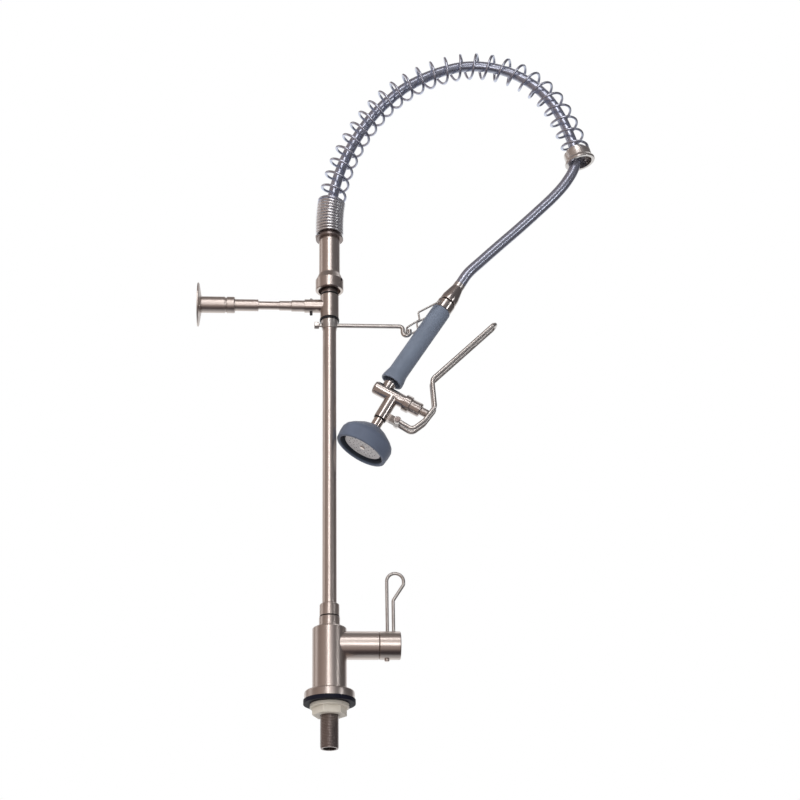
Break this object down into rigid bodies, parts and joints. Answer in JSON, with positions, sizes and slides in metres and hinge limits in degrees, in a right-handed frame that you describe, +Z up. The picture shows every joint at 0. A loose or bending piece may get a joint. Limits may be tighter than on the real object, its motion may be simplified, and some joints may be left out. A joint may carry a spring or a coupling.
{
  "type": "pre-rinse faucet",
  "caption": "Deck-mounted pre-rinse faucet: lever valve at the base, swivel riser, wall bracket, spring arch with hose, and a squeeze spray gun hanging in a hook.",
  "frame": {"origin": "centre of the deck gasket's underside, on the deck", "axes": "+Z up along the riser; +X towards the base lever, the hook and the spray gun; -X towards the wall bracket"},
  "size_m": [0.515, 0.068, 0.9476],
  "materials": {
    "steel": "satin brushed stainless steel",
    "dark_steel": "darker, slightly stained brushed steel",
    "gun_metal": "worn plated metal, satin",
    "spring_steel": "smooth spring wire, satin",
    "brass": "turned",
    "ceramic": "polished ceramic, white",
    "cream_plastic": "moulded, matt cream",
    "cartridge_plastic": "moulded",
    "gasket": "matt black rubber",
    "seal": "matt black rubber",
    "grip": "matt blue-grey moulded plastic",
    "bumper": "matt dark blue-grey rubber",
    "face": "matt light grey plastic",
    "hose": "smooth hose cover over braid, grey-blue",
    "dark_screw": "blackened steel"
  },
  "bodies": {
    "base": {"shank": "dark_steel", "deck_gasket": "gasket", "base_flange": "steel", "valve_body": "steel", "seat_seal": "seal", "cartridge_body": "cartridge_plastic", "fixed_disc": "ceramic", "cartridge_nut": "brass", "swivel_neck": "steel"},
    "mounting_nut": {"mounting_nut": "cream_plastic"},
    "valve_lever": {"moving_disc": "ceramic", "spindle": "brass", "lever_hub": "steel", "lever_wire": "steel", "hub_screw": "dark_steel"},
    "column": {"collar_seal": "seal", "riser_collar": "steel", "swivel_o_rings": "seal", "riser": "steel", "hook_collar": "dark_steel", "collar_screw": "dark_steel", "hook_arm": "steel", "tee_washer": "seal", "top_seal": "seal", "hose_adapter": "dark_steel", "coupling_nut": "steel", "coupling_screw": "dark_screw", "upper_sleeve": "steel", "spring_seat": "steel", "hose_connector": "brass", "spring": "spring_steel", "spring_end_ring": "gun_metal", "hose": "hose"},
    "tee": {"tee": "steel", "socket_screws": "dark_screw", "arm_adapter": "steel", "arm_rod": "steel"},
    "wall_arm": {"arm_tube": "steel", "arm_sleeve": "steel", "wall_flange": "steel"},
    "lock_ring": {"lock_ring": "steel"},
    "gun": {"hose_ferrule": "steel", "gun_seals": "seal", "handle_collar": "gun_metal", "handle_tube": "steel", "grip": "grip", "hanger_bail": "steel", "spray_valve_body": "gun_metal", "bonnet": "gun_metal", "lever_pin": "steel", "spray_neck": "steel", "spray_cup": "gun_metal", "bumper": "bumper", "spray_face": "face", "face_screw": "steel", "return_spring": "spring_steel"},
    "plunger": {"plunger": "steel", "seat_washer": "seal"},
    "squeeze_lever": {"squeeze_lever": "gun_metal"},
    "swivel_nut": {"swivel_nut": "gun_metal"}
  },
  "joints": [
    {"name": "mounting_nut_slide", "type": "slide", "parent": "base", "child": "mounting_nut", "axis": [0, 0, -1], "range_m": [0, 0.03]},
    {"name": "valve_lever_turn", "type": "hinge", "parent": "base", "child": "valve_lever", "pos_m": [0.0698, 0, 0.0695], "axis": [1, 0, 0], "range_deg": [0, 90]},
    {"name": "column_swivel", "type": "hinge", "parent": "base", "child": "column", "pos_m": [0, 0, 0.095], "axis": [0, 0, 1], "continuous": true},
    {"name": "tee_swivel", "type": "hinge", "parent": "column", "child": "tee", "pos_m": [0, 0, 0.50795], "axis": [0, 0, 1], "range_deg": [-120, 120]},
    {"name": "wall_arm_slide", "type": "slide", "parent": "tee", "child": "wall_arm", "axis": [-1, 0, 0], "range_m": [-0.025, 0.025]},
    {"name": "lock_ring_turn", "type": "hinge", "parent": "wall_arm", "child": "lock_ring", "pos_m": [-0.1234, 0, 0.51049], "axis": [-1, 0, 0], "continuous": true},
    {"name": "gun_swing", "type": "hinge", "parent": "column", "child": "gun", "pos_m": [0.09603, 0, 0.4753], "axis": [0, -1, 0], "range_deg": [0, 15], "deforming": ["hose"]},
    {"name": "squeeze_lever_turn", "type": "hinge", "parent": "gun", "child": "squeeze_lever", "pos_m": [0.08255, 0, 0.35217], "axis": [0, -1, 0], "range_deg": [0, 14], "stiffness_Nm_per_rad": 1.5, "springref_deg": -11.46},
    {"name": "plunger_slide", "type": "slide", "parent": "gun", "child": "plunger", "axis": [-0.8704, 0, 0.4924], "range_m": [0, 0.007], "deforming": ["return_spring"]},
    {"name": "swivel_nut_turn", "type": "hinge", "parent": "gun", "child": "swivel_nut", "pos_m": [0.15552, 0, 0.52852], "axis": [0.5432, 0, 0.8396], "continuous": true}
  ],
  "couplings": [
    {"joint": "plunger_slide", "follows": "squeeze_lever_turn", "m_per_rad": 0.0282}
  ]
}
